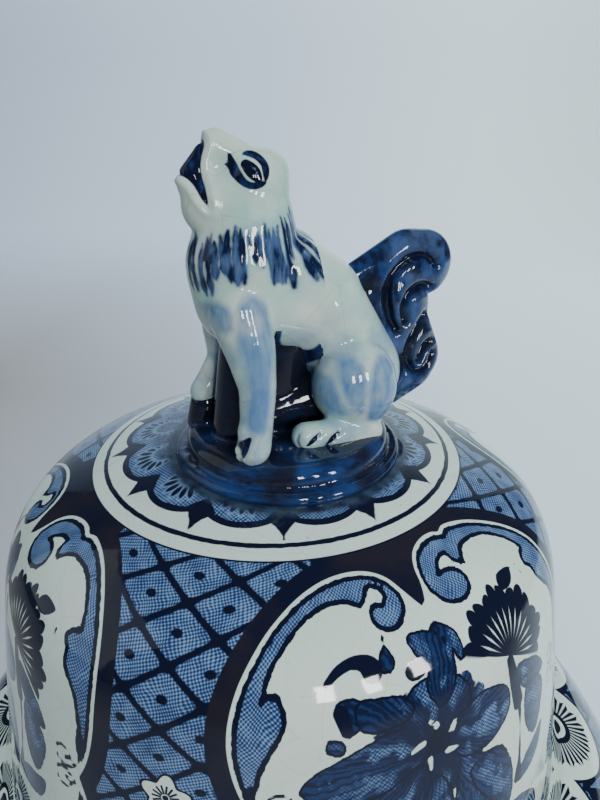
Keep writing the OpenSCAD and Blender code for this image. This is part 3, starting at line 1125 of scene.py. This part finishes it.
def cake(r, low, high, edge):
    """The disc under the lion: a cake of clay with a soft edge, off the centre."""
    deselect()
    bpy.ops.mesh.primitive_cylinder_add(
        vertices=128, radius=r * MM, depth=(high - low) * MM,
        location=(DISC_SHIFT[0] * MM, DISC_SHIFT[1] * MM, (high + low) / 2 * MM))
    disc = bpy.context.object
    soft = disc.modifiers.new("soft", "BEVEL")
    soft.width, soft.segments, soft.limit_method = edge * MM, 8, "ANGLE"
    bpy.ops.object.modifier_apply(modifier="soft")
    return disc


def ring(r, thick, high):
    """The roll of slip that was pressed round the foot of the disc."""
    deselect()
    bpy.ops.mesh.primitive_torus_add(
        major_radius=r * MM, minor_radius=thick * MM, major_segments=128, minor_segments=12,
        location=(DISC_SHIFT[0] * MM, DISC_SHIFT[1] * MM, high * MM))
    return bpy.context.object


plinth_parts = [cake(22.9, -1.4, 4.6, 2.9), ring(24.2, 1.5, -0.9)]
plinth_skin = knead("plinth_skin", STONE, rub=12, extra=plinth_parts)

# %% [markdown]
# ## Carving and painting the lion
# The painter marks eyes, mouth, mane and toes with a loaded brush, seen from
# the side, so their shapes are drawn flat in (forward, up) and meet both sides.
# The mane's strokes run round the neck, so they are drawn in (arc, up). The
# same distances carve the clay a little: a groove under each dark stroke.

# %% Draw the lion's marks
MOUTH = [
    (16.5, 63.5), (17.5, 60), (17.5, 56), (17.4, 52.4), (17.4, 52.4), (18.5, 54), (19.5, 56.5),
    (21.5, 58), (25, 58.5), (25, 64), (18.5, 66),
]
UPPER_LID = [
    (10.3, 61.3, 0.1), (9, 61.3, 0.6), (7.6, 60.8, 0.85), (6.7, 59.5, 0.85), (6.8, 58, 0.7),
    (7.1, 56.6, 0.1),
]
LOWER_LID = [
    (6.9, 56.5, 0.1), (8, 56.3, 0.6), (9.4, 56, 0.6), (10.8, 56.6, 0.7), (11.8, 58.2, 0.9),
    (12.1, 59.5, 0.8), (12.4, 60.8, 0.5), (12.6, 62, 0.1),
]
LID_BARB = [(12.1, 59.2, 0.9), (12.8, 59.6, 0.5), (13.6, 59.7, 0.05)]
BELLY = [
    (6.5, 29.5), (5, 29), (4.5, 26), (2.5, 24), (-2, 23), (-4.5, 26), (-6, 24), (-3, 19.5),
    (-2, 16), (-2.5, 12), (-6, 7), (8, 4), (9, 12), (8, 25),
]
WASHES = [
    [(12, 33.8, 2.9), (12, 29.5, 3.4), (12, 25, 2.4), (12.5, 20, 1.9), (13.6, 13, 1.7)],
    [(17.8, 34.2, 1.2), (17.2, 31.6, 0.9)],
    [(-7.8, 20.6, 1.9), (-7.6, 17.5, 2.1), (-8.4, 14, 1.4), (-9.6, 11, 0.3)],
    [(-3, 18, 0.7), (-3, 16.6, 1.2), (-3.4, 14.4, 1.4), (-4.3, 12.4, 1), (-5.8, 10.9, 0.2)],
    [(-15, 18.6, 3), (-15.4, 14.5, 4.4), (-15, 11.4, 3.8)],
]
FRONT_TOE = [(17.3, 6.2, 0.3), (16.8, 8.6, 0.8), (15.6, 10.3, 0.4)]
HIND_TOE = [(2.4, 5.2, 0.4), (1.2, 6.6, 0.7), (-0.4, 7.8, 0.3)]
TOE_GAP = (-4.5, -0.5)


def mane_strokes(seed=11):
    """Brush strokes all round the neck, each pointed at its ends. Long ones
    come first, and shorter ones are dabbed between them."""
    rng = np.random.default_rng(seed)
    strokes = []
    for turn in np.arange(-180, 180, 6.5):
        short = rng.random() < 0.35
        at = turn + rng.uniform(-2.5, 2.5)
        high = 47.2 + 2.3 * (1 - math.cos(math.radians(at))) + rng.uniform(-1.4, 0.9)
        low = 39.4 - rng.uniform(-1.6, 2.6) + (3.5 if short else 0)
        lean = math.copysign(rng.uniform(2, 9), at)
        full = rng.uniform(0.42, 0.95) * (0.7 if short else 1)
        sway = rng.uniform(-1.5, 1.5)
        for part, wide in ((0, 0.1), (0.22, 0.6), (0.45, 0.9), (0.62, 0.7), (0.82, 1), (1, 0.12)):
            bend = lean * part ** 1.3 + sway * math.sin(part * 5)
            strokes.append(((at + bend) * 0.19, high + (low - high) * part, full * wide))
    return [strokes[i:i + 6] for i in range(0, len(strokes), 6)]


u, v, w = points_of(lion_skin).T
side = Plate(np.column_stack([u, w]))
side.shape("mouth", *MOUTH)
side.stroke("lids", *UPPER_LID)
side.stroke("lids", *LOWER_LID)
side.stroke("lids", *LID_BARB)
side.shape("belly", *BELLY)
for path in WASHES:
    side.stroke("wash", *path)
side.stroke("toes", *FRONT_TOE)
for k in range(2):
    side.stroke("toes", *((x + k * TOE_GAP[0], y + k * TOE_GAP[1], r) for x, y, r in HIND_TOE))
side.stroke("pupil", (9.9, 59.4, 0.9), (9.1, 58.3, 1.25), (8.5, 57.4, 0.9))
# Painted glint: a thin pale arc in the pupil.
side.stroke("eye_glint", (9.2, 58.9, 0.12), (8.5, 58.4, 0.12), (8.6, 57.7, 0.12))
ruff = Plate(np.column_stack([np.degrees(np.arctan2(v / 0.9, u - 9)) * 0.19, w]))
for path in mane_strokes():
    ruff.stroke("mane", *path)

# %% Carve the lion
mouth, mane = side.layers["mouth"], ruff.layers["mane"]
behind_neck = (w < 34) | (u < -4.5)
mane = np.where(behind_neck, FAR, mane)
belly = np.where(np.abs(v) > 8.6, FAR, side.layers["belly"])
low_paws = (w < 11) & (np.abs(v) > 8)
toes = np.where(low_paws, side.layers["toes"], FAR)
eye_gap = np.hypot((u - 9.3) * 1.15, w - 58.4)
relief = 0.75 * np.exp(-(eye_gap / 2.3) ** 2)
relief -= 0.5 * np.exp(-(np.hypot(u - 13.6, w - 60) / 1.7) ** 2) * (np.abs(v) > 1)
relief -= 0.55 * dome(np.abs(mouth + 0.3), 0.8)
relief += 0.45 * dome(np.abs(mouth - 1.1), 1.3) * (w > 50)
relief -= 0.06 * np.clip(-mane / 0.5 + 0.3, 0, 1)
relief -= 0.45 * dome(toes, 0.8)
for middle, front in ((13.6, 13.4), (13, 0)):
    split = np.abs(np.abs(np.abs(v) - middle) - 1.3)
    reach = np.clip((u - front) / 1.2, 0, 1) * np.clip((9 - w) / 1.5, 0, 1) * (np.abs(v) > 9)
    relief -= 0.7 * dome(split, 0.75) * reach
press(lion_skin, relief)
for name, values in (("dark", np.minimum.reduce([mouth, side.layers["lids"], toes])),
                     ("pupil", side.layers["pupil"]), ("eye_glint", side.layers["eye_glint"]),
                     ("mane", mane), ("belly", belly), ("wash", side.layers["wash"]),
                     ("up", w)):
    paint_values(lion_skin, name, values)
print("lion carved by up to", round(float(-relief.min()), 2), "mm")

# %% Carve the tail
CURLS = [
    [(-35.8, 37.4, 0.2), (-33, 39.6, 0.3), (-28.4, 39.2, 0.35), (-24.8, 36, 0.4),
     (-23.6, 31.2, 0.4), (-24.8, 26, 0.35), (-26.6, 23, 0.2)],
    [(-35.8, 32, 0.2), (-32.8, 32.8, 0.35), (-29.2, 31.4, 0.4), (-28, 28.4, 0.4),
     (-28.6, 25.2, 0.3)],
    [(-34.6, 25.6, 0.2), (-31.4, 21.4, 0.35), (-30.2, 17.4, 0.4), (-31, 13.4, 0.4),
     (-33.6, 11.4, 0.35), (-36.6, 12.8, 0.3), (-37.8, 15.6, 0.2)],
    [(-33.4, 14.8, 0.2), (-34.6, 17.4, 0.4), (-36.6, 18.6, 0.2)],
    [(-29.2, 16, 0.2), (-28.4, 12, 0.35), (-26.6, 9, 0.2)],
]
u, v, w = points_of(tail_skin).T
plume = Plate(np.column_stack([u, w]))
for path in CURLS:
    plume.stroke("groove", *path)
groove = plume.layers["groove"]
press(tail_skin, 0.55 * np.clip(groove / 2.2, 0, 1) - 1.25 * dome(groove, 1.5))
paint_values(tail_skin, "groove", groove)
paint_values(tail_skin, "ahead", u)


# %% Glaze the lion
def paint_lion():
    """Celadon white, pale washes, cobalt strokes and a dark belly."""
    bench = Bench("celadon_lion_glaze")
    green = bench.noise(12, detail=2).above(0.47, 0.28)
    body = bench.blend(green, (0.60, 0.665, 0.60), (0.31, 0.53, 0.47))
    milk = bench.noise(6, detail=3).above(0.62, 0.25) * 0.5
    body = bench.blend(milk, body, (0.66, 0.69, 0.66))
    grime = bench.noise(2.2, detail=5, rough=0.7).above(0.66, 0.14) * 0.16
    body = bench.blend(grime, body, (0.22, 0.26, 0.25))
    spot = bench.node("ShaderNodeTexCoord", out="Object")
    cracks = bench.node("ShaderNodeTexVoronoi", {"feature": "DISTANCE_TO_EDGE"},
                        {"Vector": spot, "Scale": 1 / (13 * MM), "Randomness": 1.0})
    body = bench.blend(cracks.below(0.006, 0.008) * 0.4, body, (0.27, 0.31, 0.28))
    wash, mane, up = bench.stored("wash"), bench.stored("mane"), bench.stored("up")
    brush = bench.noise(1.5, detail=3, stretch=(1, 1, 4))
    mottle = brush * 0.7 + bench.noise(6, detail=2) * 0.8
    body = bench.blend((wash.below(0.4, 1.5) * mottle * 1.1).least(1), body, (0.075, 0.17, 0.34))
    foot = up.below(30, 8) * up.above(3, 2) * bench.noise(5).above(0.46, 0.3)
    body = bench.blend(foot * 0.5, body, (0.12, 0.23, 0.40))
    body = bench.blend(mane.below(0.7, 1.3) * 0.4, body, (0.14, 0.26, 0.43))
    stroke = bench.blend(brush.above(0.46, 0.18), (0.022, 0.055, 0.18), (0.005, 0.010, 0.042))
    bold = mane - bench.noise(4, detail=2) * 1.2 + 0.35
    body = bench.blend(bold.below(0, 0.5) * (brush * 0.6 + 0.66).least(1), body, stroke)
    deep = bench.blend(brush.above(0.42, 0.2), (0.012, 0.032, 0.12), (0.004, 0.006, 0.022))
    body = bench.blend(bench.stored("dark").below(0, 0.22), body, deep)
    body = bench.blend(bench.stored("pupil").below(0, 0.16), body, (0.004, 0.006, 0.02))
    # Painted glint in the pupil.
    body = bench.blend(bench.stored("eye_glint").below(0, 0.2) * 0.55, body, PALE)
    under = bench.blend(brush.above(0.46, 0.2), (0.006, 0.009, 0.024), (0.012, 0.028, 0.09))
    body = bench.blend(bench.stored("belly").below(0, 0.5), body, under)
    return glossy(bench, body, 0.16)


def cobalt_glaze(name, stretch):
    """Thick cobalt under a glossy coat, nearly black where it pools."""
    bench = Bench(name)
    drag = bench.noise(3.4, detail=4, rough=0.62, stretch=stretch)
    pool_and_shade = bench.noise(11, detail=2)
    colour = bench.blend(drag.above(0.5, 0.2), (0.006, 0.011, 0.034), (0.014, 0.042, 0.145))
    colour = bench.blend(pool_and_shade.above(0.54, 0.18) * 0.8, colour, (0.010, 0.009, 0.014))
    return bench, colour


def paint_tail():
    bench, colour = cobalt_glaze("cobalt_tail_glaze", (1, 1, 1))
    groove, ahead = bench.stored("groove"), bench.stored("ahead")
    # Painted highlight: lighter blue on the ridges of the tail's plume.
    ridge_highlight = groove.above(1.1, 1.2) * bench.noise(4.5, detail=3).above(0.47, 0.2)
    ridge_highlight = ridge_highlight * ahead.below(-23.5, 3)
    colour = bench.blend(ridge_highlight * 0.5, colour, (0.07, 0.125, 0.27))
    # Painted shade: near black in the grooves of the tail.
    colour = bench.blend(groove.below(0.3, 0.9), colour, (0.004, 0.006, 0.02))
    return glossy(bench, colour, 0.25)


def paint_plinth():
    """Dragged brush marks round the edge, and painted shade that darkens the stones under the lion."""
    bench, colour = cobalt_glaze("cobalt_plinth_glaze", (2.4, 2.4, 0.7))
    _, _, z = bench.place()
    # Painted shade: the cobalt stones under the lion, above the disc, are darkened nearly to black.
    pool_and_shade = (z - LION_SEAT[2]).above(5.4, 2.5) * 0.85
    return glossy(bench, bench.blend(pool_and_shade, colour, (0.006, 0.007, 0.014)), 0.25)


for piece, glaze, node, slot in (
        (lion_skin, paint_lion(), "lion_figure", "lion_glaze"),
        (tail_skin, paint_tail(), "lion_tail", "cobalt_glaze"),
        (plinth_skin, paint_plinth(), "lion_plinth", "cobalt_glaze")):
    piece.data.materials.clear()
    piece.data.materials.append(glaze)
    seat_on_crown(piece)
    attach(piece, "lid")
    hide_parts(node)
print("lion, tail and plinth glazed and seated")

# %% [markdown]
# ## Light and room
# A plain pale cloth, swept up to a wall, with painted shade that greys it in front,
# a painted shadow low on the left and painted light that brightens it towards the
# window on the right. Three small window panes in front are what the glaze mirrors
# as bright patches. Four broad lights fill the room, and only the left one is
# mirrored, so that the dark glaze stays dark.


# %% Build the floor and the lights
def area_light(name, place, target, size, power, tint=(1, 1, 1), mirrored=True):
    """A rectangular light at place that looks at target, in metres. One that
    isn't mirrored still lights the glaze but doesn't show in its gloss."""
    bpy.ops.object.light_add(type="AREA", location=place)
    lamp = bpy.context.object
    lamp.name = name
    lamp.data.shape = "RECTANGLE"
    lamp.data.size, lamp.data.size_y = size
    lamp.data.energy = power
    lamp.data.color = tint
    lamp.visible_glossy = mirrored
    aim = np.array(target) - np.array(place)
    flat = math.hypot(aim[0], aim[1])
    lamp.rotation_euler = (math.atan2(flat, -aim[2]), 0, math.atan2(aim[1], aim[0]) - math.pi / 2)
    return lamp


def pale_wall():
    """A matt pale cloth with painted shade in front, a painted shadow low on the left and painted light to
    the right.
    """
    bench = Bench("pale_wall")
    x, y, _ = bench.place()
    # Painted shadow of the jar low on the left, and painted light that brightens the cloth to the right.
    corner = (x + 150).below(0, 900) * (y - 1700).below(0, 1600)
    cloth = bench.blend(x.above(350, 1000), (0.70, 0.78, 0.92), (0.86, 0.97, 1))
    cloth = bench.blend(corner, cloth, (0.32, 0.31, 0.31))
    # Painted shade on the floor in front.
    bench.set(Base_Color=bench.blend(y.below(40, 320), cloth, (0.24, 0.25, 0.28)))
    bench.shader.inputs["Roughness"].default_value = 0.9
    return bench.material


deselect()
bpy.ops.mesh.primitive_plane_add(size=6, location=(0, 0, 0))
floor = bpy.context.object
floor.name = "floor"
bpy.ops.object.mode_set(mode="EDIT")
bpy.ops.mesh.select_all(action="DESELECT")
bpy.ops.object.mode_set(mode="OBJECT")
for edge in floor.data.edges:
    edge.select = all(floor.data.vertices[i].co.y > 1 for i in edge.vertices)
bpy.ops.object.mode_set(mode="EDIT")
bpy.ops.mesh.select_mode(type="EDGE")
bpy.ops.mesh.extrude_region_move(TRANSFORM_OT_translate={"value": (0, 0, 4)})
bpy.ops.object.mode_set(mode="OBJECT")
bevel = floor.modifiers.new("sweep", "BEVEL")
bevel.width, bevel.segments, bevel.limit_method = 0.8, 12, "ANGLE"
pick(floor)
bpy.ops.object.modifier_apply(modifier="sweep")
bpy.ops.object.shade_smooth()
floor.data.materials.append(pale_wall())

SOFT_DAY = (0.87, 0.97, 1)
LID_MIDDLE = (0, 0, 0.36)
WINDOW_UP = math.radians(16)
WINDOW_AWAY = 1.2
for k, degrees in enumerate((15, 31, 48)):
    turn = math.radians(degrees)
    up = LID_MIDDLE[2] + WINDOW_AWAY * math.tan(WINDOW_UP)
    spot = (WINDOW_AWAY * math.sin(turn), -WINDOW_AWAY * math.cos(turn), up)
    area_light(f"window_pane_{k + 1}", spot, LID_MIDDLE, (0.13, 0.32), 4.6)
area_light("soft_left", (-2.2, -0.2, 1.4), LID_MIDDLE, (2.4, 2.4), 10, (0.86, 0.96, 1))
area_light("soft_right", (2.1, 0.3, 1.0), LID_MIDDLE, (2.0, 2.0), 17, SOFT_DAY, mirrored=False)
area_light("ceiling", (0, 0.3, 2.6), (0, 0.2, 0.2), (4.4, 4.4), 66, SOFT_DAY, mirrored=False)
area_light("wall_wash", (0.6, 1.4, 2.4), (0.5, 3, 1.0), (3.0, 0.8), 46, SOFT_DAY, mirrored=False)
world = bpy.data.worlds.new("room")
bpy.context.scene.world = world
world.use_nodes = True
world.node_tree.nodes["Background"].inputs["Color"].default_value = (0.70, 0.77, 0.90, 1)
world.node_tree.nodes["Background"].inputs["Strength"].default_value = 0.1
print("floor, wall and seven lights")
